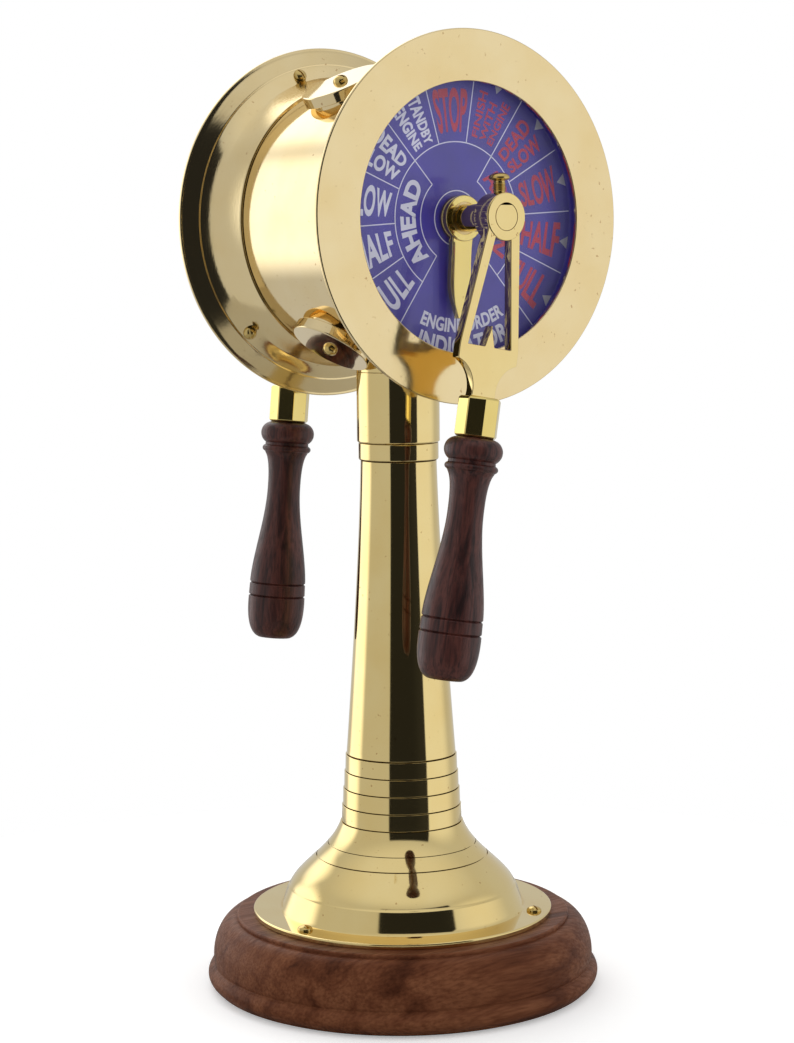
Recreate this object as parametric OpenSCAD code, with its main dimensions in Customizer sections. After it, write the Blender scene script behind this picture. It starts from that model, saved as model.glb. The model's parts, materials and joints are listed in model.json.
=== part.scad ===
// Ship's engine order telegraph on a turned pedestal, table-top size, two dials and two levers.
// Millimetres. Z is up and the origin is the centre of the base's underside.
// The drum's axis runs along Y, and the front dial faces -Y.
// The rear half is the front half turned half a turn about Z.
// Each lever's gear drives a layshaft, and the layshaft turns the pointer at the other end.

/* [Base] */
// Radius of the round wooden base
base_r = 90; // [86:1:94]
// Height of the wooden base's top
base_h = 33.4; // [31:0.2:35]
// Thickness of the felt pad under the base
felt_t = 1; // [0.5:0.5:2]
// Radius of the recess under the base for the tie rod's nut
recess_r = 16; // [14:1:20]
// Height of that recess
recess_h = 16; // [14:1:18]

/* [Pedestal] */
// Radius of the foot's flange
flange_r = 68.8; // [66:0.2:70]
// Thickness of the foot's flange
flange_t = 2.5; // [2:0.1:3]
// Radius of the bell at the top of the flange
bell_r = 56.7; // [54:0.1:58]
// Radius of the bell's shoulder
shoulder_r = 52.4; // [50:0.1:53]
// Height of the bell's shoulder
shoulder_z = 45.6; // [44:0.1:47]
// Radius of the bell's top
bell_top_r = 28.2; // [27:0.1:29]
// Height of the bell's top, where the ringed collar starts
collar_z = 75.5; // [74:0.5:77]
// Height of the top of the ringed collar
collar_top_z = 106.8; // [105:0.2:108]
// Radius at the foot of the column
column_r = 25.1; // [24:0.1:26]
// Radius at the top of the column
column_top_r = 17.3; // [17:0.1:18]
// Height of the top of the column
column_top_z = 242; // [238:1:246]
// Height of the top of the plain band over the column
band_top_z = 250; // [248:1:252]
// Radius of the neck over the band
neck_r = 18.8; // [18:0.1:19]
// Height of the top of the neck
neck_top_z = 282; // [280:0.5:284]
// Wall thickness of the pedestal's turned pieces
wall = 2.6; // [2:0.2:3]
// Radius of the tie rod through the pedestal
rod_r = 4; // [3:0.5:5]

/* [Drum] */
// Height of the drum's axis over the floor
axis_z = 349.5; // [348:0.5:351]
// Outer radius of the drum's body
drum_r = 62; // [61.8:0.1:62.2]
// Half the length of the drum's body between the two bezels
drum_half = 31.2; // [31:0.1:32]
// Radius of the drum's thin spigots, which carry the bezels
spigot_r = 61; // [60.9:0.1:61.1]
// Distance of the spigot's end from the middle of the drum
spigot_end = 44; // [44:0.1:44.2]
// Inner radius of the drum
drum_bore_r = 60; // [59.9:0.1:60]
// Radius of a round port cover
port_r = 18.5; // [17:0.5:19]
// Thickness of a port cover's disc
port_t = 5; // [4:0.5:5]
// Angle of the upper port covers above the horizontal
port_up = 64; // [62:1:66]
// Angle of the lower port covers below the horizontal
port_down = 57; // [56:1:58]

/* [Bezel] */
// Outer radius of the bezel's rim
rim_r = 80.5; // [80:0.1:81]
// Distance of the bezel's face from the middle of the drum
face_y = 55.9; // [55.8:0.1:56.2]
// Radius of the bezel's opening
opening_r = 58.3; // [57.5:0.1:58.8]
// Thickness of the bezel's face
face_t = 1.8; // [1.6:0.1:1.8]

/* [Dial] */
// Distance of the dial's printed face from the middle of the drum
dial_y = 45; // [45:0.1:45.2]
// Radius of the dial plate
dial_r = 64.4; // [64:0.1:64.4]
// Length of the pointer from its hub's centre to its tip
pointer_len = 43.5; // [40:0.5:50]
// Radius of the pointer's round head
pointer_head_r = 10; // [9:0.5:11]
// Angle of the front pointer, seen from the front, 0 hanging straight down
front_pointer_angle = -3.5; // [-9:0.5:9]
// Angle of the rear pointer, seen from the rear
rear_pointer_angle = 8; // [-9:0.5:9]

/* [Levers] */
// Distance of the lever's hub front from the middle of the drum
hub_y = 80; // [79:0.5:82]
// Length of the lever's hub along its shaft
hub_len = 10; // [8:0.5:12]
// Radius of the lever's hub
hub_r = 10.2; // [10:0.1:11]
// Radius of the lever's shaft
shaft_r = 5.9; // [5.8:0.1:5.9]
// Thickness of the lever's flat frame
frame_t = 4.5; // [4:0.1:5]
// Width of the lever's two side bars
bar_w = 4.2; // [4:0.1:5]
// Half the width of the lever's frame at its widest
frame_half = 15.7; // [15:0.1:16.5]
// Distance of the window's lower edge from the shaft's axis
window_end = 55.5; // [54:0.5:57]
// Distance of the lever's neck end from the shaft's axis
neck_end = 77; // [76:0.5:78]
// Width across the flats of the eight-sided ferrule
ferrule_af = 17.3; // [16:0.1:18]
// Distance of the ferrule's lower end, where the wooden grip starts
grip_start = 94.3; // [93:0.1:95]
// Distance of the grip's end from the shaft's axis
grip_end = 197.5; // [196:0.5:199]
// Angle of the front lever, seen from the front, 0 hanging straight down
front_lever_angle = -9.5; // [-12:0.5:12]
// Angle of the rear lever, seen from the rear
rear_lever_angle = 5.5; // [-12:0.5:12]

/* [Movement] */
// Module of the gears, pitch diameter over number of teeth
gear_module = 1.25; // [1.25:0.05:1.25]
// Number of teeth on every gear
gear_teeth = 20; // [20:2:20]
// Thickness of a gear
gear_t = 4; // [3:0.5:4]
// Radius of a layshaft
layshaft_r = 3; // [2.5:0.5:3]
// Distance of a pointer gear's back from the middle of the drum
pointer_gear_y = 30; // [29:0.5:31]
// Distance of a lever gear's back from the middle of the drum
lever_gear_y = 18; // [18:0.5:19]
// Radial clearance of the running fits
running_fit = 0.06; // [0.03:0.01:0.08]

/* [Hidden] */
$fn = 96;
front = 0;
rear = 1;
sides = [-1, 1];
eps = 0.1;

brass = [0.86, 0.72, 0.42];
dark_brass = [0.72, 0.58, 0.30];
wood_red = [0.48, 0.25, 0.18];
rosewood = [0.30, 0.14, 0.12];
dial_blue = [0.24, 0.22, 0.52];
steel = [0.66, 0.67, 0.70];
felt_green = [0.12, 0.26, 0.18];
clear = [0.85, 0.92, 0.95, 0.35];

upper_right = port_up;
upper_left = 180 - port_up;
lower_left = 180 + port_down;
lower_right = -port_down;
ports = [upper_right, upper_left, lower_left, lower_right];

gear_pitch_r = gear_module * gear_teeth / 2;
tooth_step = 360 / gear_teeth;
layshaft_x = 2 * gear_pitch_r;
pillar_r = 4;
pillar_pitch_r = 53.5;
tube_r = 7;
tube_end = 50.5;
plate_t = 2;
plate_y = spigot_end - plate_t - 0.2;
glass_y = face_y - face_t - 2.3;
glass_t = 2.2;
hub_back = hub_y - hub_len;
frame_front = hub_y - 0.25;
frame_mid = frame_front - frame_t / 2;
flat_y = 4.9;
thumb_r = 2.4;
tang_r = 3;
foot_screw_r = 62;
foot_screw_angles = [70, 190, 310];
bezel_screw_angles = [106, 226, 346];
bezel_screw_at = [69.5, 48.25];
bezel_cone_angle = atan2(4.5, 6);
gong_at = [0, 36];
gong_r = 17;
hammer_at = [20, 16];
hammer_y = 6.5;
hammer_t = 3;
post_r = 2;
star_tip_r = 12;
star_teeth = 11;

// ---- helpers -------------------------------------------------------------------------------

// Points of an elliptical arc about a centre, from angle a to angle b, in n steps
function arc(centre, radii, a, b, n = 12) =
    [for (i = [0:n]) let (t = a + (b - a) * i / n)
        [centre[0] + radii[0] * cos(t), centre[1] + radii[1] * sin(t)]];

// Points of a cubic curve with two end points and two handles
function curve(p, q, r, s, n = 12) =
    [for (i = [0:n]) let (t = i / n, u = 1 - t)
        u * u * u * p + 3 * u * u * t * q + 3 * u * t * t * r + t * t * t * s];

// Places a child at one end of the drum: X right, Y up and Z outward, seen from that end
module at_end(end) {
    translate([0, 0, axis_z]) rotate([0, 0, end * 180]) rotate([90, 0, 0]) children();
}

// Places a child with its Z out of the drum through the middle of a port cover
module at_port(port) {
    translate([0, 0, axis_z]) rotate([0, -port, 0]) rotate([0, 90, 0]) children();
}

// A ring or a disc between two distances along the local Z
module ring(outer, inner, from, to) {
    translate([0, 0, from]) difference() {
        cylinder(r = outer, h = to - from);
        if (inner > 0) translate([0, 0, -eps]) cylinder(r = inner, h = to - from + 2 * eps);
    }
}

// Turns an outline of [radius, height] points about Z
module turned(points) {
    rotate_extrude() polygon(points);
}

// Domed screw head with a slot, its shank along -Z from the head's seat
module round_head_screw(head_r, head_h, shank_r, shank_len) {
    slot_w = head_r / 4;
    difference() {
        union() {
            turned(concat([[0, 0]], arc([0, 0], [head_r, head_h], 0, 90, 8)));
            translate([0, 0, -shank_len]) cylinder(r = shank_r, h = shank_len + eps);
        }
        translate([-head_r, -slot_w / 2, head_h * 0.55]) cube([2 * head_r, slot_w, head_h]);
    }
}

// Spur gear with straight-sided teeth, slimmed for backlash
module gear(bore, phase) {
    tip = gear_pitch_r + 0.88 * gear_module;
    root = gear_pitch_r - 1.08 * gear_module;
    tip_half = 1.5;
    root_half = 6.6;
    points = [for (i = [0:gear_teeth - 1]) let (a = phase + i * tooth_step)
        each [for (p = [[root, -root_half], [tip, -tip_half], [tip, tip_half], [root, root_half]])
            p[0] * [cos(a + p[1]), sin(a + p[1])]]];
    difference() {
        linear_extrude(gear_t) polygon(points);
        translate([0, 0, -eps]) cylinder(r = bore, h = gear_t + 2 * eps);
    }
}

// ---- base and pedestal ---------------------------------------------------------------------

module base_felt() {
    color(felt_green) ring(base_r - 6, recess_r, 0, felt_t);
}

module wood_base() {
    profile = concat(
        [[rod_r + 0.4, felt_t], [base_r - 3.2, felt_t]],
        arc([base_r - 5.5, 6.2], [5.5, 5], -60, 62, 10),
        [[base_r - 3.2, 11.2], [base_r - 2.8, 12.2]],
        arc([base_r - 13.5, 14.4], [10.9, 17.2], 0, 90, 12),
        [[base_r - 13.5, base_h - 0.5], [base_r - 14, base_h], [rod_r + 0.4, base_h]]
    );
    color(wood_red) difference() {
        turned(profile);
        translate([0, 0, -eps]) cylinder(r = recess_r, h = recess_h + eps);
        for (a = foot_screw_angles)
            rotate([0, 0, a]) translate([foot_screw_r, 0, base_h - 16]) cylinder(r = 1.9, h = 20);
    }
}

module pedestal_foot() {
    top = base_h + flange_t;
    outer = concat(
        [[flange_r, base_h], [flange_r, top - 0.5], [flange_r - 0.6, top], [bell_r, top]],
        [[bell_r - 0.8, top + 1.4], [shoulder_r, shoulder_z]],
        curve([shoulder_r - 0.3, shoulder_z + 0.4], [48, 55], [33, 62], [bell_top_r, collar_z], 16)
    );
    inner = concat(
        curve([bell_top_r - wall, collar_z], [33 - wall, 60], [46 - wall, 53],
            [shoulder_r - wall - 0.8, shoulder_z - 2], 12),
        [[bell_r - wall - 1.6, base_h]]
    );
    groove = [[40.6, 60.0], [35.4, 65.7]];
    color(brass) difference() {
        turned(concat(outer, inner));
        for (g = groove) rotate_extrude() translate(g) circle(r = 0.5, $fn = 16);
        for (a = foot_screw_angles)
            rotate([0, 0, a]) translate([foot_screw_r, 0, base_h - eps]) cylinder(r = 2, h = 4);
    }
}

module foot_screws() {
    color(dark_brass) for (a = foot_screw_angles) rotate([0, 0, a])
        translate([foot_screw_r, 0, base_h + flange_t + 0.02]) round_head_screw(3.4, 2.2, 1.8, 15);
}

module ring_collar() {
    rings = 4;
    pitch = (collar_top_z - collar_z) / rings;
    radius_step = (bell_top_r - 0.6 - column_r) / rings;
    outer = [for (i = [0:rings - 1]) let (z = collar_z + i * pitch, r = bell_top_r - 0.6 - i * radius_step)
        each [[r - 0.7, z], [r, z + 0.5], [r - 0.2, z + pitch - 0.5], [r - 0.7, z + pitch]]];
    inner = [[column_r - wall - 0.7, collar_top_z], [bell_top_r - wall - 0.7, collar_z]];
    color(brass) turned(concat(outer, inner));
}

module column() {
    outer = concat(
        [[column_r - 0.7, collar_top_z]],
        curve([column_r, collar_top_z + 0.5], [22.6, 140], [18.3, 200],
            [column_top_r, column_top_z - 0.4], 16),
        [[column_top_r - 0.5, column_top_z]]
    );
    inner = [[column_top_r - wall, column_top_z], [column_r - wall - 0.7, collar_top_z]];
    color(brass) turned(concat(outer, inner));
}

module column_band() {
    outer_r = neck_r - 0.6;
    color(brass) turned([
        [column_top_r - wall, column_top_z], [outer_r - 0.5, column_top_z],
        [outer_r, column_top_z + 0.5], [outer_r, band_top_z - 0.5],
        [outer_r - 0.5, band_top_z], [column_top_r - wall, band_top_z]
    ]);
}

module neck() {
    color(brass) turned([
        [neck_r - wall, band_top_z], [neck_r - 0.5, band_top_z], [neck_r, band_top_z + 0.5],
        [neck_r, neck_top_z], [neck_r - wall, neck_top_z]
    ]);
}

// Block between the neck and the drum, hollowed to the drum's radius and notched for the covers
module saddle() {
    top = axis_z - drum_r + 4;
    color(brass) difference() {
        translate([0, 0, neck_top_z]) cylinder(r = neck_r, h = top - neck_top_z);
        translate([0, 0, axis_z]) rotate([90, 0, 0])
            cylinder(r = drum_r, h = 3 * neck_r, center = true, $fn = 180);
        translate([0, 0, neck_top_z - eps]) cylinder(r = rod_r + 0.4, h = 20);
        for (port = [lower_right, lower_left])
            at_port(port) translate([0, 0, drum_r - 1]) cylinder(r = port_r + 0.3, h = port_t + 3);
    }
}

module tie_rod() {
    bottom = recess_h - 11;
    top = axis_z - drum_bore_r + 9.5;
    color(steel) translate([0, 0, bottom]) cylinder(r = rod_r, h = top - bottom);
}

module tie_rod_nuts() {
    color(steel) for (z = [recess_h - 8.2, axis_z - drum_bore_r + 1.4])
        translate([0, 0, z]) difference() {
            cylinder(r = 7.5, h = 6.5, $fn = 6);
            translate([0, 0, -eps]) cylinder(r = rod_r, h = 7);
        }
}

module tie_rod_washer() {
    color(steel) ring(12, rod_r + 0.3, recess_h - 1.6, recess_h);
}

// ---- drum ----------------------------------------------------------------------------------

module drum_body() {
    color(brass) difference() {
        translate([0, 0, axis_z]) rotate([90, 0, 0]) rotate_extrude($fn = 180) polygon([
            [drum_bore_r, -spigot_end], [spigot_r, -spigot_end], [spigot_r, -drum_half],
            [drum_r, -drum_half], [drum_r, drum_half], [spigot_r, drum_half],
            [spigot_r, spigot_end], [drum_bore_r, spigot_end]
        ]);
        for (port = ports) at_port(port) cylinder(r = 2, h = 80);
        translate([0, 0, axis_z - 80]) cylinder(r = rod_r + 0.4, h = 40);
    }
}

// Round cover on the drum: a flat disc on a boss that is hollowed to the drum's radius
module port_cover(port) {
    boss_r = port_r - 3.5;
    color(brass) difference() {
        at_port(port) difference() {
            union() {
                translate([0, 0, drum_r + 0.5]) turned([
                    [0, 0], [port_r, 0], [port_r, port_t - 0.9], [port_r - 0.6, port_t - 0.3],
                    [0, port_t]
                ]);
                translate([0, 0, drum_r - 4]) cylinder(r = boss_r, h = 4.6);
            }
            translate([0, 0, drum_r - 10]) cylinder(r = 2, h = 30);
        }
        translate([0, 0, axis_z]) rotate([90, 0, 0])
            cylinder(r = drum_r + 0.02, h = 3 * port_r, center = true, $fn = 180);
    }
}

module port_cover_screws() {
    seat = drum_r + 0.5 + port_t;
    color(dark_brass) for (port = ports) at_port(port) translate([0, 0, seat])
        round_head_screw(3.3, 2.8, 1.8, seat - pillar_pitch_r + 1);
}

module bezel(end) {
    color(brass) at_end(end) difference() {
        rotate_extrude($fn = 180) polygon([
            [spigot_r + 0.05, drum_half], [drum_r + 0.9, drum_half], [66.5, 46], [72.5, 50.5],
            [73.2, 50.6], [rim_r - 1.2, face_y - 1.9], [rim_r, face_y - 1.6], [rim_r, face_y - 0.4],
            [rim_r - 0.4, face_y], [opening_r + 0.3, face_y], [opening_r, face_y - 0.3],
            [opening_r, face_y - face_t], [76, face_y - face_t], [72.4, 52.4], [65.6, 47.4],
            [dial_r + 0.2, 45.9], [dial_r + 0.2, dial_y - 1.2], [spigot_r + 0.05, dial_y - 1.2]
        ]);
        bezel_screw_places(end) translate([0, 0, -6]) cylinder(r = 1.7, h = 12);
    }
}

// Seats of the three screws on a bezel's back cone, each with its Z out of the cone
module bezel_screw_places(end) {
    for (a = bezel_screw_angles) rotate([0, 0, end == front ? a : 180 - a])
        translate([bezel_screw_at[0], 0, bezel_screw_at[1]])
            rotate([0, 180 - bezel_cone_angle, 0]) children();
}

module bezel_screws(end) {
    color(dark_brass) at_end(end) bezel_screw_places(end)
        translate([0, 0, 0.15]) round_head_screw(3, 2.2, 1.6, 4);
}

module dial(end) {
    color(dial_blue) at_end(end) ring(dial_r, tube_r + 1, dial_y - 1, dial_y);
}

module spacer_ring(end) {
    color(brass) at_end(end) ring(dial_r, dial_r - 1.4, dial_y, glass_y);
}

module glass(end) {
    color(clear) at_end(end) ring(dial_r - 0.2, shaft_r + 0.5, glass_y, glass_y + glass_t);
}

// ---- movement ------------------------------------------------------------------------------

module movement_plate(end) {
    color(dark_brass) at_end(end) difference() {
        cylinder_from(drum_bore_r - 0.2, plate_y, plate_y + plate_t);
        translate([0, 0, plate_y - eps]) cylinder(r = tube_r + 2, h = plate_t + 2 * eps);
        for (x = sides * layshaft_x) translate([x, 0, plate_y - eps])
            cylinder(r = layshaft_r + running_fit, h = plate_t + 2 * eps);
    }
}

module cylinder_from(r, from, to) {
    translate([0, 0, from]) cylinder(r = r, h = to - from);
}

module bush(end) {
    color(dark_brass) at_end(end) {
        ring(tube_r + 2, tube_r + running_fit, plate_y - 2, plate_y + plate_t);
        ring(tube_r + 4, tube_r + running_fit, plate_y - 2, plate_y);
    }
}

module centre_plate() {
    half_t = 1.5;
    color(dark_brass) at_end(front) difference() {
        union() {
            cylinder_from(drum_bore_r - 0.2, -half_t, half_t);
            cylinder_from(8, -5.3, 5.3);
        }
        cylinder_from(post_r * 2 + running_fit, -6, 6);
        for (x = sides * layshaft_x) translate([x, 0, -3]) cylinder(r = layshaft_r + 0.8, h = 6);
        for (port = ports) rotate([0, 0, port]) translate([pillar_pitch_r, 0, -3])
            cylinder(r = pillar_r + 0.02, h = 6);
        for (port = ports)
            rotate([0, 0, port]) translate([pillar_pitch_r + 6, 0, 0]) cube([12, 5, 6], center = true);
        translate([-10, -drum_bore_r - 1, -3]) cube([20, 15, 6]);
    }
}

module pillars() {
    color(steel) at_end(front) for (port = ports) rotate([0, 0, port]) difference() {
        translate([pillar_pitch_r, 0, -plate_y]) cylinder(r = pillar_r, h = 2 * plate_y);
        rotate([0, 90, 0]) cylinder(r = 1.85, h = 80);
    }
}

module gong() {
    t = 1.2;
    rim = 4;
    outer = concat([[gong_r, rim]], arc([2.6, rim + 4], [gong_r - 2.6, 6], 0, 90, 10));
    inner = concat(arc([2.6, rim + 4], [gong_r - 2.6 - t, 6 - t], 90, 0, 10), [[gong_r - t, rim]]);
    color(steel) at_end(rear) translate([-gong_at[0], gong_at[1], 0]) turned(concat(outer, inner));
}

module gong_post() {
    color(dark_brass) at_end(rear) translate([-gong_at[0], gong_at[1], 0]) {
        cylinder_from(2.55, 1.5, 14.1);
        cylinder_from(4.5, 14.05, 15.6);
        cylinder_from(4.5, 10.6, 12.75);
    }
}

module hammer_post() {
    color(dark_brass) at_end(rear) translate([-hammer_at[0], hammer_at[1], 0]) {
        cylinder_from(post_r, 1.5, hammer_y + hammer_t + 0.6);
        cylinder_from(post_r + 1.4, hammer_y + hammer_t + 0.5, hammer_y + hammer_t + 1.5);
    }
}

// Torsion spring round the hammer's post, drawn as closed turns
module hammer_spring() {
    color(steel) at_end(rear) translate([-hammer_at[0], hammer_at[1], 0])
        for (i = [0:2]) translate([0, 0, 2.2 + i * 1.2])
            rotate_extrude() translate([post_r + 1.4, 0]) circle(r = 0.45, $fn = 16);
}

module hammer() {
    head_reach = 20;
    tail_reach = 12.4;
    tail_angle = atan2(hammer_at[1], hammer_at[0]);
    color(steel) at_end(rear) translate([-hammer_at[0], hammer_at[1], hammer_y]) difference() {
        union() {
            cylinder(r = 4, h = hammer_t);
            rotate([0, 0, 7]) translate([-1.25, 0, 0]) cube([2.5, head_reach, hammer_t]);
            rotate([0, 0, 7]) translate([0, head_reach, -1]) cylinder(r = 3.5, h = hammer_t + 2);
            rotate([0, 0, -tail_angle]) translate([0, -1.1, 0]) cube([tail_reach - 1, 2.2, hammer_t]);
            rotate([0, 0, -tail_angle]) translate([tail_reach - 1, 0, 0]) cylinder(r = 1.1, h = hammer_t);
        }
        translate([0, 0, -eps]) cylinder(r = post_r + running_fit, h = hammer_t + 2 * eps);
    }
}

// Wheel with one point for each order on the dial, on the rear lever's shaft
module star_wheel() {
    step = 360 / star_teeth;
    points = [for (i = [0:star_teeth - 1]) each [
        star_tip_r * [cos(i * step), sin(i * step)],
        (star_tip_r - 3) * [cos((i + 0.5) * step), sin((i + 0.5) * step)]
    ]];
    color(steel) at_end(rear) translate([0, 0, hammer_y]) difference() {
        linear_extrude(hammer_t) polygon(points);
        translate([0, 0, -eps]) cylinder(r = shaft_r, h = hammer_t + 2 * eps);
    }
}

module layshaft(own_end) {
    far_end = 1 - own_end;
    x = own_end == front ? 1 : -1;
    color(steel) {
        at_end(front) translate([x * layshaft_x, 0, -plate_y - 1.6])
            cylinder(r = layshaft_r, h = 2 * (plate_y + 1.6));
        at_end(own_end) translate([x * (own_end == front ? 1 : -1) * layshaft_x, 0, pointer_gear_y])
            layshaft_gear();
        at_end(far_end) translate([x * (far_end == front ? 1 : -1) * layshaft_x, 0, lever_gear_y])
            layshaft_gear();
    }
}

module layshaft_gear() {
    gear(layshaft_r - eps, tooth_step / 2);
}

// ---- pointers ------------------------------------------------------------------------------

// Leaf-shaped blade with a round head, hanging from the hub's centre
module pointer(end, angle) {
    z = dial_y + 1;
    thickness = 5;
    leaf = concat(
        [[0, 0], [5.7, -7]],
        curve([5.7, -9], [4.6, -20], [6.6, -26], [4.4, -34], 8),
        [[0, -pointer_len]],
        curve([-4.4, -34], [-6.6, -26], [-4.6, -20], [-5.7, -9], 8),
        [[-5.7, -7]]
    );
    color(brass) at_end(end) rotate([0, 0, angle]) difference() {
        union() {
            cylinder_from(pointer_head_r, z, z + thickness);
            translate([0, 0, z + 1]) linear_extrude(thickness - 2) polygon(leaf);
        }
        cylinder_from(tube_r, z - eps, z + thickness + eps);
    }
}

module pointer_arbor(end) {
    color(dark_brass) at_end(end) {
        ring(tube_r, shaft_r + running_fit, pointer_gear_y, tube_end);
        translate([0, 0, pointer_gear_y]) gear(tube_r - eps, 0);
    }
}

// ---- levers --------------------------------------------------------------------------------

// Flat frame with two bars round a window, a point between them and a waisted neck
module lever_frame() {
    waist_at = [19.2, 74.5];
    waist_r = 13;
    spike_half = 2.6;
    bar_top = 7.6;
    difference() {
        linear_extrude(frame_t) polygon([
            [bar_top, 0], [frame_half, -window_end], [frame_half, -neck_end],
            [-frame_half, -neck_end], [-frame_half, -window_end], [-bar_top, 0]
        ]);
        translate([0, 0, -eps]) linear_extrude(frame_t + 2 * eps) polygon([
            [bar_top - bar_w, -2], [frame_half - bar_w, -window_end],
            [spike_half, -window_end], [0, -46.5], [-spike_half, -window_end],
            [bar_w - frame_half, -window_end], [bar_w - bar_top, -2]
        ]);
        for (side = sides) translate([side * waist_at[0], -waist_at[1], -eps])
            cylinder(r = waist_r, h = frame_t + 2 * eps);
    }
}

module lever_arm(end, angle) {
    color(brass) at_end(end) difference() {
        rotate([0, 0, angle]) union() {
            translate([0, 0, frame_front - frame_t]) lever_frame();
            cylinder_from(hub_r, hub_back, hub_y);
        }
        cylinder_from(shaft_r + 0.02, hub_back - 1, hub_y + 1);
        translate([0, 0, hub_y - hub_len / 2]) rotate([-90, 0, 0])
            cylinder(r = thumb_r + running_fit, h = hub_r + 2);
    }
}

// Shaft with a flat under the thumb screw and a thin journal at its inner end
module lever_shaft(end) {
    journal_r = post_r * 2;
    shoulder = 5.6;
    color(steel) at_end(end) difference() {
        union() {
            cylinder_from(journal_r, 0.3, shoulder + eps);
            cylinder_from(shaft_r, shoulder, hub_y);
        }
        translate([-10, flat_y, hub_back - 0.5]) cube([20, 5, hub_len + 2]);
    }
}

module lever_gear(end) {
    color(steel) at_end(end) translate([0, 0, lever_gear_y]) gear(shaft_r, 0);
}

// Places a child on the lever's centre line: Z runs from the hub down the grip
module down_lever(end, angle) {
    at_end(end) rotate([0, 0, angle]) translate([0, 0, frame_mid]) rotate([90, 0, 0]) children();
}

module ferrule(end, angle) {
    color(brass) down_lever(end, angle) translate([0, 0, neck_end]) difference() {
        rotate([0, 0, 22.5]) cylinder(r = ferrule_af / 2 / cos(22.5), h = grip_start - neck_end, $fn = 8);
        translate([0, 0, -eps]) cylinder(r = tang_r, h = 30);
    }
}

module tang(end, angle) {
    color(steel) down_lever(end, angle) {
        translate([0, 0, neck_end]) cylinder(r = tang_r, h = grip_end - 8 - neck_end);
    }
}

module grip(end, angle) {
    profile = concat(
        [[tang_r + 0.05, grip_start], [8.4, grip_start]],
        arc([7.4, 99.7], [5.2, 5.3], -75, 62, 10),
        arc([8, 107], [3.5, 2.1], -50, 50, 6),
        curve([10, 109.2], [8.3, 112], [7.7, 118], [7.75, 125], 8),
        curve([7.75, 127], [7.8, 141], [12.7, 158], [13.2, 170.8], 10),
        [[12.6, 171.5], [13.25, 172.2], [13.35, 176.8], [12.7, 177.5], [13.4, 178.2]],
        curve([13.4, 179], [13.6, 187], [12.5, 195], [7.6, grip_end], 8),
        [[tang_r + 0.05, grip_end]]
    );
    color(rosewood) down_lever(end, angle) turned(profile);
}

module thumb_screw(end) {
    head_at = hub_r + 5.3;
    color(dark_brass) at_end(end) translate([0, 0, hub_y - hub_len / 2]) rotate([-90, 0, 0]) {
        cylinder_from(thumb_r, flat_y + 0.4, head_at + eps);
        turned(concat([[0, head_at], [3.6, head_at], [4.55, head_at + 0.8]],
            arc([0, head_at + 1.2], [4.55, 2], 0, 90, 8)));
    }
}

// ---- drawing -------------------------------------------------------------------------------

base_felt();
wood_base();
pedestal_foot();
foot_screws();
ring_collar();
column();
column_band();
neck();
saddle();
tie_rod();
tie_rod_nuts();
tie_rod_washer();
drum_body();
port_cover(upper_right);  // port_cover_upper_right
port_cover(upper_left);  // port_cover_upper_left
port_cover(lower_left);  // port_cover_lower_left
port_cover(lower_right);  // port_cover_lower_right
port_cover_screws();
bezel(front);  // front_bezel
bezel(rear);  // rear_bezel
bezel_screws(front);  // front_bezel_screws
bezel_screws(rear);  // rear_bezel_screws
dial(front);  // front_dial
dial(rear);  // rear_dial
spacer_ring(front);  // front_spacer_ring
spacer_ring(rear);  // rear_spacer_ring
glass(front);  // front_glass
glass(rear);  // rear_glass
movement_plate(front);  // front_plate
movement_plate(rear);  // rear_plate
bush(front);  // front_bush
bush(rear);  // rear_bush
centre_plate();
pillars();
gong();
gong_post();
hammer_post();
hammer_spring();
hammer();
lever_arm(front, front_lever_angle);  // front_lever_arm
lever_shaft(front);  // front_lever_shaft
lever_gear(front);  // front_lever_gear
ferrule(front, front_lever_angle);  // front_ferrule
grip(front, front_lever_angle);  // front_grip
tang(front, front_lever_angle);  // front_tang
thumb_screw(front);  // front_thumb_screw
lever_arm(rear, rear_lever_angle);  // rear_lever_arm
lever_shaft(rear);  // rear_lever_shaft
lever_gear(rear);  // rear_lever_gear
ferrule(rear, rear_lever_angle);  // rear_ferrule
grip(rear, rear_lever_angle);  // rear_grip
tang(rear, rear_lever_angle);  // rear_tang
thumb_screw(rear);  // rear_thumb_screw
star_wheel();
pointer(front, front_pointer_angle);  // front_pointer
pointer_arbor(front);  // front_pointer_arbor
pointer(rear, rear_pointer_angle);  // rear_pointer
pointer_arbor(rear);  // rear_pointer_arbor
layshaft(front);  // layshaft_a
layshaft(rear);  // layshaft_b
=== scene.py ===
import json
import math

import bmesh
import bpy
from mathutils import Matrix, Vector

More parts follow.
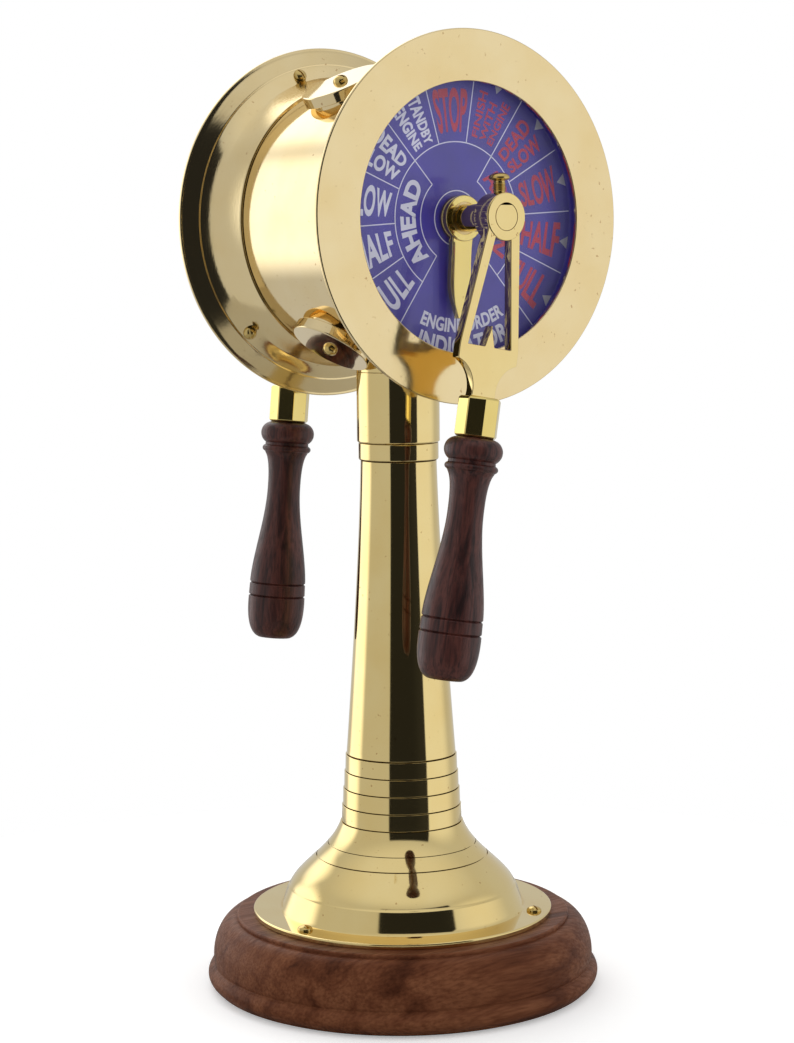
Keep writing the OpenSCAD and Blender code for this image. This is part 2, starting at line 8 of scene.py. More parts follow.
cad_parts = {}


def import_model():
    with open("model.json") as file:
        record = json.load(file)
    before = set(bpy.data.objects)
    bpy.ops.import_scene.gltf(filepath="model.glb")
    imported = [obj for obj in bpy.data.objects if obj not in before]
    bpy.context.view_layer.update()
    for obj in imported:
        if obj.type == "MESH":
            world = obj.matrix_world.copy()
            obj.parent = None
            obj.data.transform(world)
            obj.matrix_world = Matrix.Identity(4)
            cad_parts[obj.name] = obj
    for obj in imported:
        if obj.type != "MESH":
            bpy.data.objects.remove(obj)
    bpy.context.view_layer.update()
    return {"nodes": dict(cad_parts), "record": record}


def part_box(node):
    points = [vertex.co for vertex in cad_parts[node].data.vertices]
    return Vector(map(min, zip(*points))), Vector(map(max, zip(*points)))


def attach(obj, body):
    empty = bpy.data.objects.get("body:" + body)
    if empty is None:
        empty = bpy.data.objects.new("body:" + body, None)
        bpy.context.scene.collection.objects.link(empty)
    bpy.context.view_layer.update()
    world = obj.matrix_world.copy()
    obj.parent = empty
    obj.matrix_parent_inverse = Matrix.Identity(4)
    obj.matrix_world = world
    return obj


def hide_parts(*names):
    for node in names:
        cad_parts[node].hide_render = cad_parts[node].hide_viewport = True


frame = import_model()

# Ship's engine order telegraph. Shapes are written in millimetres and placed in the CAD frame.
MM = 0.001
SHARP_DEGREES = 32.0
JOINTS = {j["name"]: j for j in frame["record"]["behaviour"]["joints"]}
SUBPARTS = {s["node"]: s["material_slot"] for s in frame["record"]["subparts"]}
AXIS_Z = JOINTS["front_lever_turn"]["pos_m"][2] / MM
ENDS = ("front", "rear")
LEVER_ANGLE = {"front": -9.5, "rear": 5.5}
POINTER_ANGLE = {"front": -3.5, "rear": 8.0}
DIAL_TURN = {"front": -3.6, "rear": 2.0}


def top(node):
    """Height of the top of a CAD node, in millimetres."""
    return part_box(node)[1][2] / MM


def bottom(node):
    """Height of the bottom of a CAD node, in millimetres."""
    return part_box(node)[0][2] / MM


def reach(node):
    """Greatest radius of a turned CAD node about Z, in millimetres."""
    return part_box(node)[1][0] / MM


# ---- outlines ------------------------------------------------------------------------------

def arc(centre, radii, start, stop, steps=12):
    """Points of an elliptical arc between two angles in degrees."""
    points = []
    for i in range(steps + 1):
        t = math.radians(start + (stop - start) * i / steps)
        points.append((centre[0] + radii[0] * math.cos(t), centre[1] + radii[1] * math.sin(t)))
    return points


def curve(p, q, r, s, steps=16):
    """Points of a cubic curve with two end points and two handles."""
    points = []
    for i in range(steps + 1):
        t = i / steps
        u = 1 - t
        weights = (u ** 3, 3 * u * u * t, 3 * u * t * t, t ** 3)
        points.append(tuple(sum(w * c[k] for w, c in zip(weights, (p, q, r, s))) for k in (0, 1)))
    return points


def eased(points, closed=False, steps=5):
    """Rounds the corners of an outline. A corner is (x, y, radius); other points are (x, y).

    A point just outside each rounded corner keeps the flats beside it flat when shaded smooth.
    """
    out = []
    count = len(points)
    for i, point in enumerate(points):
        end_point = not closed and i in (0, count - 1)
        if len(point) == 2 or end_point:
            out.append(Vector(point[:2]))
            continue
        here = Vector(point[:2])
        before = Vector(points[i - 1][:2]) - here
        after = Vector(points[(i + 1) % count][:2]) - here
        cut = min(point[2], 0.48 * before.length, 0.48 * after.length)
        first = here + before.normalized() * cut
        last = here + after.normalized() * cut
        if before.length > 4 * cut:
            out.append(here + before.normalized() * cut * 1.3)
        for k in range(steps + 1):
            t = k / steps
            out.append(first * (1 - t) ** 2 + here * 2 * t * (1 - t) + last * t * t)
        if after.length > 4 * cut:
            out.append(here + after.normalized() * cut * 1.3)
    return [(p.x, p.y) for p in out]


# ---- meshes --------------------------------------------------------------------------------

def standing():
    """Local millimetres to the frame, for pieces turned about the pedestal's axis."""
    return Matrix.Scale(MM, 4)


def at_end(end, angle=0.0):
    """Local millimetres to the frame: X right, Y up and Z outward, seen from that end."""
    half_turn = math.pi if end == "rear" else 0.0
    return (
        Matrix.Scale(MM, 4)
        @ Matrix.Translation((0, 0, AXIS_Z))
        @ Matrix.Rotation(half_turn, 4, "Z")
        @ Matrix.Rotation(math.pi / 2, 4, "X")
        @ Matrix.Rotation(math.radians(angle), 4, "Z")
    )


def build(name, verts, faces, place, sharp=SHARP_DEGREES):
    """A smooth-shaded mesh object that also keeps its own local coordinates, for wood grain."""
    mesh = bpy.data.meshes.new(name)
    mesh.from_pydata([place @ Vector(v) for v in verts], [], faces)
    local = mesh.attributes.new("local", "FLOAT_VECTOR", "POINT")
    for i, v in enumerate(verts):
        local.data[i].vector = Vector(v) * MM
    tidy = bmesh.new()
    tidy.from_mesh(mesh)
    bmesh.ops.recalc_face_normals(tidy, faces=tidy.faces)
    tidy.to_mesh(mesh)
    tidy.free()
    mesh.shade_smooth()
    mesh.set_sharp_from_angle(angle=math.radians(sharp))
    obj = bpy.data.objects.new(name, mesh)
    bpy.context.scene.collection.objects.link(obj)
    return obj


def lathe_data(outline, segments):
    """Vertices and faces of an outline of (radius, height) points turned about Z."""
    on_axis = outline[0][0] < 1e-6 and outline[-1][0] < 1e-6
    rows = []
    verts = []
    for r, z in outline:
        if r < 1e-6:
            rows.append([len(verts)] * segments)
            verts.append((0.0, 0.0, z))
            continue
        rows.append(list(range(len(verts), len(verts) + segments)))
        for k in range(segments):
            a = 2 * math.pi * k / segments
            verts.append((r * math.cos(a), r * math.sin(a), z))
    pairs = list(zip(rows, rows[1:]))
    if not on_axis:
        pairs.append((rows[-1], rows[0]))
    faces = []
    for low, high in pairs:
        for k in range(segments):
            n = (k + 1) % segments
            ring = [low[k], low[n], high[n], high[k]]
            face = [v for i, v in enumerate(ring) if v not in ring[:i]]
            if len(face) > 2:
                faces.append(face)
    return verts, faces


def lathe(name, outline, place, segments=192):
    """A piece turned about its local Z from an outline of (radius, height) points."""
    verts, faces = lathe_data(outline, segments)
    return build(name, verts, faces, place)


def plate_data(outlines, back, front, bevel):
    """Vertices and faces of a flat plate with rounded edges, cut from an outline with holes."""
    data = bpy.data.curves.new("plate", "CURVE")
    data.dimensions = "2D"
    data.fill_mode = "BOTH"
    data.extrude = (front - back) / 2 - bevel
    data.bevel_depth = bevel
    data.bevel_resolution = 2
    data.offset = -bevel
    for outline in outlines:
        spline = data.splines.new("POLY")
        spline.points.add(len(outline) - 1)
        for point, (x, y) in zip(spline.points, outline):
            point.co = (x, y, 0, 1)
        spline.use_cyclic_u = True
    return data_of(data, (0, 0, (front + back) / 2))


def data_of(data, shift=(0, 0, 0), merge=False):
    """Vertices and faces of a curve or text, with doubled points joined."""
    obj = bpy.data.objects.new("scratch", data)
    bpy.context.scene.collection.objects.link(obj)
    mesh = bpy.data.meshes.new_from_object(obj)
    joined = bmesh.new()
    joined.from_mesh(mesh)
    bmesh.ops.remove_doubles(joined, verts=joined.verts, dist=1e-4)
    if merge:
        bmesh.ops.dissolve_limit(joined, angle_limit=0.01, verts=joined.verts, edges=joined.edges)
    bmesh.ops.translate(joined, verts=joined.verts, vec=shift)
    verts = [tuple(v.co) for v in joined.verts]
    faces = [[v.index for v in f.verts] for f in joined.faces]
    joined.free()
    bpy.data.objects.remove(obj)
    bpy.data.meshes.remove(mesh)
    return verts, faces


def cut(piece, tool, operation):
    """Applies a boolean of two pieces and drops the tool."""
    modifier = piece.modifiers.new("cut", "BOOLEAN")
    modifier.operation = operation
    modifier.object = tool
    modifier.solver = "EXACT"
    graph = bpy.context.evaluated_depsgraph_get()
    mesh = bpy.data.meshes.new_from_object(piece.evaluated_get(graph))
    piece.modifiers.clear()
    piece.data = mesh
    mesh.set_sharp_from_angle(angle=math.radians(SHARP_DEGREES))
    bpy.data.objects.remove(tool)
    return piece


def joined(pieces, name):
    """One object from several meshes that are already in the frame."""
    merged = bmesh.new()
    for piece in pieces:
        merged.from_mesh(piece.data)
    mesh = bpy.data.meshes.new(name)
    merged.to_mesh(mesh)
    merged.free()
    for piece in pieces:
        bpy.data.objects.remove(piece)
    mesh.shade_smooth()
    mesh.set_sharp_from_angle(angle=math.radians(SHARP_DEGREES))
    obj = bpy.data.objects.new(name, mesh)
    bpy.context.scene.collection.objects.link(obj)
    return obj


def put(piece, body, slot, material, *nodes):
    """Gives a piece its body and material and hides the CAD nodes that it stands for. The slot is not
    used.
    """
    piece.data.materials.clear()
    piece.data.materials.append(material)
    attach(piece, body)
    if nodes:
        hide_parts(*nodes)
    return piece


# ---- materials -----------------------------------------------------------------------------

class Shader:
    """A principled material and short ways to add the nodes that vary it."""

    def __init__(self, name):
        self.material = bpy.data.materials.new(name)
        self.material.use_nodes = True
        self.tree = self.material.node_tree
        self.surface = self.tree.nodes["Principled BSDF"]

    def node(self, kind, inputs=None, **settings):
        """Adds a node. Its inputs may be plain values or sockets to link."""
        made = self.tree.nodes.new(kind)
        for key, value in settings.items():
            setattr(made, key, value)
        for key, value in (inputs or {}).items():
            if isinstance(value, bpy.types.NodeSocket):
                self.tree.links.new(value, made.inputs[key])
            else:
                made.inputs[key].default_value = value
        return made

    def set(self, **values):
        """Sets the surface's inputs, with _ for each space in a name."""
        for key, value in values.items():
            socket = self.surface.inputs[key.replace("_", " ")]
            if isinstance(value, bpy.types.NodeSocket):
                self.tree.links.new(value, socket)
            else:
                socket.default_value = value

    def object_coords(self, scale=(1, 1, 1)):
        """Object coordinates, which are the frame's for every piece built here."""
        coords = self.node("ShaderNodeTexCoord").outputs["Object"]
        return self.node("ShaderNodeMapping", {"Vector": coords, "Scale": scale}).outputs[0]

    def local_coords(self, scale=(1, 1, 1)):
        """The coordinates that build() kept, before a piece was placed."""
        coords = self.node("ShaderNodeAttribute", attribute_name="local").outputs["Vector"]
        return self.node("ShaderNodeMapping", {"Vector": coords, "Scale": scale}).outputs[0]

    def noise(self, coords, scale, detail=4.0, distortion=0.0):
        inputs = {"Vector": coords, "Scale": scale, "Detail": detail, "Distortion": distortion}
        return self.node("ShaderNodeTexNoise", inputs).outputs["Fac"]

    def remap(self, value, low, high, to_low, to_high):
        inputs = {"Value": value, "From Min": low, "From Max": high}
        inputs.update({"To Min": to_low, "To Max": to_high})
        return self.node("ShaderNodeMapRange", inputs).outputs[0]

    def mix(self, factor, first, second, blend="MIX"):
        inputs = {"Factor": factor, "A": first, "B": second}
        made = self.node("ShaderNodeMix", inputs, data_type="RGBA", blend_type=blend)
        return made.outputs["Result"]

    def ramp(self, value, stops):
        made = self.node("ShaderNodeValToRGB", {"Fac": value})
        elements = made.color_ramp.elements
        while len(elements) < len(stops):
            elements.new(0.5)
        for element, (position, colour) in zip(elements, stops):
            element.position = position
            element.color = (*colour, 1)
        return made.outputs["Color"]

    def bump(self, height, strength, distance, normal=None):
        inputs = {"Height": height, "Strength": strength, "Distance": distance}
        if normal is not None:
            inputs["Normal"] = normal
        return self.node("ShaderNodeBump", inputs).outputs["Normal"]


def brass(name, colour, roughness, ripple=0.10, lines=0.05):
    """Polished brass: slow hand-buffed ripples, fine polishing lines and a few tarnish freckles."""
    shader = Shader(name)
    coords = shader.object_coords()
    cloud = shader.noise(coords, 38.0, 3.0)
    freckles = shader.noise(coords, 420.0, 2.0)
    warm = tuple(c * k for c, k in zip(colour, (0.97, 0.93, 0.84)))
    spot = tuple(c * k for c, k in zip(colour, (0.62, 0.5, 0.4)))
    base = shader.ramp(cloud, [(0.35, colour), (0.72, warm)])
    mask = shader.remap(freckles, 0.71, 0.77, 0.0, 0.8)
    mixed = shader.mix(mask, base, (*spot, 1))
    rough = shader.remap(cloud, 0.3, 0.75, roughness, roughness * 1.9)
    slow = shader.bump(shader.noise(coords, 26.0, 1.0), ripple, 0.0006)
    fine_coords = shader.local_coords((400, 400, 2600))
    fine = shader.bump(shader.noise(fine_coords, 1.0, 2.0), lines, 0.00006, slow)
    shader.set(Base_Color=mixed, Metallic=1.0, Roughness=rough, Normal=fine)
    return shader.material


def base_timber(name):
    """Reddish-brown hardwood disc with straight grain, open pores and a satin finish."""
    shader = Shader(name)
    coords = shader.object_coords((0.8, 6.0, 6.0))
    figure = shader.noise(coords, 14.0, 5.0, 0.5)
    streaks = shader.noise(shader.object_coords((5.0, 60.0, 60.0)), 14.0, 3.0)
    pores = shader.noise(shader.object_coords((14.0, 220.0, 220.0)), 9.0, 2.0)
    colour = shader.ramp(figure, [
        (0.30, (0.078, 0.023, 0.011)), (0.44, (0.160, 0.054, 0.025)),
        (0.58, (0.225, 0.085, 0.040)), (0.74, (0.128, 0.041, 0.020)),
    ])
    dark = shader.ramp(streaks, [(0.35, (0.62, 0.55, 0.52)), (0.62, (1, 1, 1))])
    mixed = shader.mix(0.85, colour, dark, "MULTIPLY")
    rough = shader.remap(streaks, 0.3, 0.7, 0.50, 0.34)
    normal = shader.bump(pores, 0.35, 0.0003, shader.bump(figure, 0.10, 0.0006))
    shader.set(Base_Color=mixed, Roughness=rough, Normal=normal)
    shader.set(Specular_IOR_Level=0.10, Specular_Tint=(1.0, 0.66, 0.45, 1))
    return shader.material


def rosewood(name):
    """Dark rosewood grips: grain along the grip, darker veins and an oiled sheen."""
    shader = Shader(name)
    figure = shader.noise(shader.local_coords((9.0, 9.0, 1.1)), 26.0, 5.0, 1.2)
    pores = shader.noise(shader.local_coords((170.0, 170.0, 12.0)), 8.0, 2.0)
    colour = shader.ramp(figure, [
        (0.30, (0.020, 0.006, 0.006)), (0.46, (0.058, 0.016, 0.013)),
        (0.60, (0.098, 0.028, 0.021)), (0.76, (0.040, 0.011, 0.010)),
    ])
    fleck = shader.ramp(pores, [(0.36, (0.6, 0.55, 0.5)), (0.5, (1, 1, 1))])
    mixed = shader.mix(0.9, colour, fleck, "MULTIPLY")
    rough = shader.remap(pores, 0.35, 0.6, 0.5, 0.34)
    normal = shader.bump(pores, 0.3, 0.0002, shader.bump(figure, 0.1, 0.0005))
    shader.set(Base_Color=mixed, Roughness=rough, Normal=normal)
    shader.set(Coat_Weight=0.08, Coat_Roughness=0.28, Specular_IOR_Level=0.3)
    return shader.material


def enamel(name, colour, variation=0.12, roughness=0.32):
    """Printed enamel with a slight unevenness in colour and gloss."""
    shader = Shader(name)
    cloud = shader.noise(shader.object_coords(), 55.0, 4.0)
    grain = shader.noise(shader.object_coords(), 2400.0, 2.0)
    deep = tuple(c * (1 - variation) for c in colour)
    light = tuple(c * (1 + variation) for c in colour)
    base = shader.ramp(cloud, [(0.35, deep), (0.68, light)])
    rough = shader.remap(cloud, 0.3, 0.7, roughness, roughness * 1.35)
    shader.set(Base_Color=base, Roughness=rough, Normal=shader.bump(grain, 0.06, 0.00004))
    return shader.material


def clear_glass(name):
    """Flat cover glass as a thin clear pane: a faint reflection with wiping marks."""
    shader = Shader(name)
    smear = shader.noise(shader.object_coords((1, 1, 3)), 30.0, 3.0)
    tint = shader.ramp(smear, [(0.35, (0.90, 0.95, 1.0)), (0.7, (0.97, 0.98, 1.0))])
    shader.set(Base_Color=tint, Roughness=shader.remap(smear, 0.45, 0.8, 0.0, 0.06))
    shader.set(Metallic=1.0, Alpha=0.018)
    return shader.material


def felt_cloth(name):
    """Short green felt: fibre speckle and a soft nap."""
    shader = Shader(name)
    fibre = shader.noise(shader.object_coords(), 1500.0, 5.0, 1.0)
    base = shader.ramp(fibre, [(0.3, (0.006, 0.022, 0.013)), (0.7, (0.018, 0.060, 0.036))])
    shader.set(Base_Color=base, Roughness=0.95, Normal=shader.bump(fibre, 0.6, 0.0003))
    shader.set(Sheen_Weight=0.4, Sheen_Roughness=0.5)
    return shader.material


def plain_steel(name):
    """Machined steel with fine brushing and a little staining."""
    shader = Shader(name)
    brushing = shader.noise(shader.object_coords((60, 900, 60)), 3.0, 3.0)
    stain = shader.noise(shader.object_coords(), 90.0, 4.0)
    base = shader.ramp(stain, [(0.35, (0.52, 0.53, 0.55)), (0.7, (0.38, 0.37, 0.36))])
    rough = shader.remap(brushing, 0.3, 0.7, 0.22, 0.38)
    shader.set(Base_Color=base, Metallic=1.0, Roughness=rough)
    shader.set(Normal=shader.bump(brushing, 0.12, 0.0001))
    return shader.material


SHEET_BRASS = brass("sheet_brass", (0.80, 0.66, 0.395), 0.04)
SPUN_BRASS = brass("spun_brass", (0.80, 0.655, 0.375), 0.085, 0.18, 0.30)
CAST_BRASS = brass("cast_brass", (0.80, 0.64, 0.30), 0.045, 0.14)
YELLOW_BRASS = brass("yellow_brass", (0.77, 0.62, 0.225), 0.06, 0.2)
OLD_POLISH = brass("old_polish", (0.14, 0.09, 0.035), 0.4)
LOOKS = {
    "polished_brass": CAST_BRASS,
    "screw_brass": brass("screw_brass", (0.60, 0.45, 0.17), 0.15, 0.2, 0.15),
    "movement_brass": brass("movement_brass", (0.70, 0.54, 0.26), 0.20, 0.2, 0.2),
    "steel": plain_steel("steel"),
    "wood_base": base_timber("base_timber"),
    "grip_wood": rosewood("rosewood"),
    "felt": felt_cloth("felt"),
    "dial": enamel("dial_enamel", (0.068, 0.052, 0.390)),
    "glass": clear_glass("cover_glass"),
}
WHITE_INK = enamel("white_ink", (0.74, 0.74, 0.90), 0.04, 0.4)
RED_INK = enamel("red_ink", (0.52, 0.035, 0.085), 0.08, 0.4)
MARK_INK = enamel("mark_ink", (0.50, 0.50, 0.56), 0.06, 0.4)


# ---- base and pedestal ---------------------------------------------------------------------

FLANGE_T = 2.5
BELL_LINES = (60.0, 65.7)
STACK_BORE = 14.7


def wood_base():
    """The turned wooden base, with a recess underneath for the nut."""
    r = reach("wood_base")
    low = bottom("wood_base")
    high = top("wood_base")
    outline = eased(
        [(16, low + 1), (16, low, 0.6), (r - 3.2, low, 0.8)]
        + arc((r - 5.5, 6.2), (5.5, 5), -60, 62, 20)
        + [(r - 3.2, 11.2, 0.4), (r - 2.8, 12.2, 0.4)]
        + arc((r - 13.5, 14.4), (10.9, 17.2), 0, 90, 32)
        + [(r - 13.5, high - 0.5, 0.4), (r - 14.1, high, 0.5), (4.4, high, 0.3), (4.4, low + 15, 0.3),
           (16, low + 15, 0.5)],
        closed=True,
    )
    piece = lathe("wood_base_turned", outline, standing(), 256)
    put(piece, "stand", "wood_base", LOOKS["wood_base"], "wood_base")


def scribe(points, heights, half=0.3, depth=0.6):
    """Cuts narrow square lines into an outline that runs upward, at the given heights."""
    out = []
    for (x0, z0), (x1, z1) in zip(points, points[1:]):
        out.append((x0, z0))
        for height in heights:
            if z0 < height <= z1:
                t = (height - z0) / (z1 - z0)
                at = Vector((x0 + (x1 - x0) * t, height))
                along = Vector((x1 - x0, z1 - z0)).normalized()
                inward = Vector((-along.y, along.x)) * depth
                out += [tuple(at - along * half * 1.5), tuple(at - along * half),
                        tuple(at - along * half * 0.8 + inward), tuple(at + along * half * 0.8 + inward),
                        tuple(at + along * half), tuple(at + along * half * 1.5)]
    out.append(points[-1])
    return out


def darken_lines(piece, heights, half=0.4):
    """Puts old polish into the cut lines of a turned piece at the given heights."""
    piece.data.materials.append(OLD_POLISH)
    for face in piece.data.polygons:
        z = face.center.z / MM
        if any(abs(z - height) < half for height in heights):
            face.material_index = 1


def foot_outline():
    """The cast foot: flange, upright band, shoulder and a bell with two scribed lines."""
    r = reach("pedestal_foot")
    low = bottom("pedestal_foot")
    flange_top = low + FLANGE_T
    high = top("pedestal_foot")
    bell = scribe(curve((52.0, 46.2), (48, 55), (33, 62), (28.2, high), 44), BELL_LINES)
    outer = [(r, low, 0.3), (r, flange_top, 0.7), (56.7, flange_top), (56.6, flange_top + 0.1),
             (55.9, flange_top + 1.6), (52.5, 45.7, 0.35)]
    inner = [(25.6, high, 0.3), (26.2, high - 3), (31, 60), (43, 52), (49, 43.6), (52.5, low, 0.3)]
    return eased(outer + bell + inner, closed=True)


def pedestal_foot():
    """The foot, with old polish in its scribed lines."""
    piece = lathe("pedestal_foot_cast", foot_outline(), standing(), 256)
    put(piece, "stand", "polished_brass", CAST_BRASS, "pedestal_foot")
    darken_lines(piece, BELL_LINES, 0.25)


def ring_collar():
    """Four stepped rings between the bell and the column."""
    low = bottom("ring_collar")
    high = top("ring_collar")
    rings = 4
    pitch = (high - low) / rings
    outline = []
    for i in range(rings):
        z = low + i * pitch
        r = 27.6 - i * 0.625
        outline += [(r - 0.7, z), (r - 0.7, z + 0.24), (r, z + 0.3, 0.12)]
        outline += [(r - 0.2, z + pitch - 0.1, 0.12), (r - 0.7, z + pitch - 0.02)]
    outline += [(21.8, high, 0.3), (24.9, low, 0.3)]
    piece = lathe("ring_collar_turned", eased(outline, closed=True), standing(), 224)
    put(piece, "stand", "polished_brass", CAST_BRASS, "ring_collar")
    darken_lines(piece, [low + i * pitch + 0.12 for i in range(rings)], 0.16)


def column():
    """The tapered hollow column."""
    low = bottom("column")
    high = top("column")
    outline = eased(
        [(24.4, low), (25.1, low + 0.5, 0.3)]
        + curve((25.0, low + 1), (22.6, 140), (18.3, 200), (17.3, high - 0.8), 48)
        + [(17.3, high - 0.4, 0.3), (16.8, high), (STACK_BORE, high, 0.3), (21.8, low, 0.3)],
        closed=True,
    )
    piece = lathe("column_turned", outline, standing(), 224)
    put(piece, "stand", "polished_brass", CAST_BRASS, "column")
    darken_lines(piece, (low + 0.2,), 0.3)


def column_band():
    """The band at the column's top, between two dark joints."""
    low = bottom("column_band")
    high = top("column_band")
    r = reach("column_band")
    outline = eased([(STACK_BORE, low, 0.3), (r - 0.5, low, 0.2), (r, low + 0.5, 0.4),
                     (r, high - 0.5, 0.4), (r - 0.5, high, 0.2), (STACK_BORE, high, 0.3)], closed=True)
    piece = lathe("column_band_turned", outline, standing(), 192)
    put(piece, "stand", "polished_brass", CAST_BRASS, "column_band")
    darken_lines(piece, (low + 0.2, high - 0.2), 0.2)


def neck():
    """The straight tube between the band and the saddle."""
    low = bottom("neck")
    high = top("neck")
    r = reach("neck")
    outline = eased([(r - 2.6, low, 0.3), (r - 0.5, low, 0.2), (r, low + 0.5, 0.4), (r, high - 0.1, 0.3),
                     (r - 2.6, high - 0.1, 0.3)], closed=True)
    piece = lathe("neck_turned", outline, standing(), 192)
    put(piece, "stand", "polished_brass", CAST_BRASS, "neck")


# ---- screws and port covers ----------------------------------------------------------------

FOOT_SCREW_CIRCLE = 62


def slotted_screws(name, places, head_r, head_h, shank_r, shank_len, turns):
    """Domed slotted screws as one piece; each place maps a screw's millimetres to the frame."""
    shank = eased([(0, -shank_len), (shank_r, -shank_len, 0.4), (shank_r, 0, 0.1), (head_r, 0, 0.25)])
    outline = [(0, -shank_len)] + shank + arc((0, 0.35), (head_r, head_h - 0.35), 0, 90, 12)
    outline = [p for i, p in enumerate(outline) if i == 0 or p != outline[i - 1]]
    outline[-1] = (0, head_h)
    pieces = []
    for place, turn in zip(places, turns):
        placed = place @ Matrix.Rotation(math.radians(turn), 4, "Z")
        screw = lathe(name, outline, placed, 48)
        half = head_r / 8
        floor = head_h * 0.5
        tall = head_h + 1
        long = head_r + 1
        box = [(x, y, z) for x in (-long, long) for y in (-half, half) for z in (floor, tall)]
        sides = [(0, 1, 3, 2), (4, 6, 7, 5), (0, 4, 5, 1), (2, 3, 7, 6), (0, 2, 6, 4), (1, 5, 7, 3)]
        pieces.append(cut(screw, build("slot", box, sides, placed), "DIFFERENCE"))
    return joined(pieces, name)


def foot_screws():
    """Three wood screws through the flange."""
    seat = bottom("pedestal_foot") + FLANGE_T + 0.02
    places = []
    for angle in (70, 190, 310):
        spin = Matrix.Rotation(math.radians(angle), 4, "Z")
        places.append(Matrix.Scale(MM, 4) @ spin @ Matrix.Translation((FOOT_SCREW_CIRCLE, 0, seat)))
    piece = slotted_screws("foot_screws_domed", places, 3.4, 2.2, 1.8, 14, (20, 75, 130))
    put(piece, "stand", "screw_brass", LOOKS["screw_brass"], "foot_screws")


DRUM_R = 62.0
PORT_BACK = DRUM_R + 0.5
PORT_FACE = 67.5
PORT_R = 18.5
PORTS = {"upper_right": 64, "upper_left": 116, "lower_left": 237, "lower_right": -57}


def port_place(angle):
    """Local millimetres to the frame: Z out of the drum through the middle of a port cover."""
    return (
        Matrix.Scale(MM, 4)
        @ Matrix.Translation((0, 0, AXIS_Z))
        @ Matrix.Rotation(math.radians(-angle), 4, "Y")
        @ Matrix.Rotation(math.pi / 2, 4, "Y")
    )


def port_covers():
    """Round covers on bosses that follow the drum, with a screw in each."""
    for name, angle in PORTS.items():
        outline = [(0, PORT_BACK), (PORT_R, PORT_BACK, 0.3), (PORT_R, PORT_FACE, 0.6), (0, PORT_FACE)]
        disc = lathe("disc", eased(outline), port_place(angle), 160)
        verts, faces = saddle_boss(PORT_R - 3.5, DRUM_R, PORT_BACK + 0.4, 96)
        boss = build("boss", verts, faces, port_place(angle))
        piece = joined([disc, boss], "port_cover_" + name + "_turned")
        put(piece, "stand", "polished_brass", SHEET_BRASS, "port_cover_" + name)
    places = [port_place(angle) @ Matrix.Translation((0, 0, PORT_FACE)) for angle in PORTS.values()]
    piece = slotted_screws("port_cover_screws_domed", places, 3.3, 2.8, 1.8, 12, (35, 110, 15, 80))
    put(piece, "stand", "screw_brass", LOOKS["screw_brass"], "port_cover_screws")


def saddle_boss(radius, drum_r, high, segments):
    """A short round boss whose lower edge follows the drum. The drum's axis is the local Y."""
    verts = []
    for k in range(segments):
        a = 2 * math.pi * k / segments
        x = radius * math.cos(a)
        y = radius * math.sin(a)
        verts.append((x, y, high))
        verts.append((x, y, math.sqrt(drum_r ** 2 - x * x) - 0.2))
    faces = []
    for k in range(segments):
        n = (k + 1) % segments
        faces.append((2 * k, 2 * n, 2 * n + 1, 2 * k + 1))
    faces.append([2 * k for k in range(segments)])
    return verts, faces


# ---- drum and bezels -----------------------------------------------------------------------

DRUM_BORE = 60.0
SPIGOT_R = 61.0
SPIGOT_END = 44.0
OPENING_R = 58.3
BEZEL_FACE_T = 1.8
CONE_DEGREES = math.degrees(math.atan2(4.5, 6))
CONE_SEAT = (69.5, 0, 48.25)


def drum_body():
    """The drum's shell, with a thinner spigot at each end."""
    half = [(DRUM_R, 31.1, 0.25), (SPIGOT_R, 31.2), (SPIGOT_R, SPIGOT_END, 0.2)]
    half += [(DRUM_BORE, SPIGOT_END, 0.2)]
    far_half = [(r, -z, *ease) for r, z, *ease in reversed(half)]
    piece = lathe("drum_body_rolled", eased(far_half + half, closed=True), at_end("front"), 256)
    put(piece, "stand", "polished_brass", SHEET_BRASS, "drum_body")


def bezel(end):
    """The spun bezel: a sleeve on the drum, a flared cone and a flat face, hollow inside."""
    face = -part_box("front_bezel")[0][1] / MM
    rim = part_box("front_bezel")[1][0] / MM
    under_face = face - BEZEL_FACE_T
    sleeve = [(61.1, 31.3, 0.2), (62.9, 31.3, 0.3)]
    flare = curve((63.1, 32.4), (64.0, 37), (65.2, 42.5), (66.8, 46.2), 12)
    cone = [(72.3, 50.3, 0.4), (72.9, 50.3, 0.3), (79.0, 53.9, 0.8), (rim, face - 1.6, 0.5)]
    front = [(rim, face, 0.7), (OPENING_R, face, 0.5), (OPENING_R, under_face, 0.3)]
    hollow = [(76, under_face, 0.5), (72.2, 52.3, 0.5), (65.6, 47.4, 0.4), (64.6, 45.9, 0.2)]
    seat = [(64.6, 43.8, 0.1), (61.1, 43.8, 0.1)]
    outline = eased(sleeve + flare + cone + front + hollow + seat, closed=True)
    piece = lathe(end + "_bezel_spun", outline, at_end(end), 288)
    put(piece, "stand", "polished_brass", SPUN_BRASS, end + "_bezel")


def bezel_screws(end):
    """Three screws square to the bezel's back cone."""
    lean = Matrix.Rotation(math.radians(180 - CONE_DEGREES), 4, "Y")
    places = []
    for angle in (106, 226, 346):
        angle = angle if end == "front" else 180 - angle
        seat = at_end(end, angle) @ Matrix.Translation(CONE_SEAT)
        places.append(seat @ lean @ Matrix.Translation((0, 0, 0.15)))
    piece = slotted_screws(end + "_bezel_screws_domed", places, 3.0, 2.2, 1.6, 3.8, (10, 60, 95))
    put(piece, "stand", "screw_brass", LOOKS["screw_brass"], end + "_bezel_screws")


# ---- dial ----------------------------------------------------------------------------------

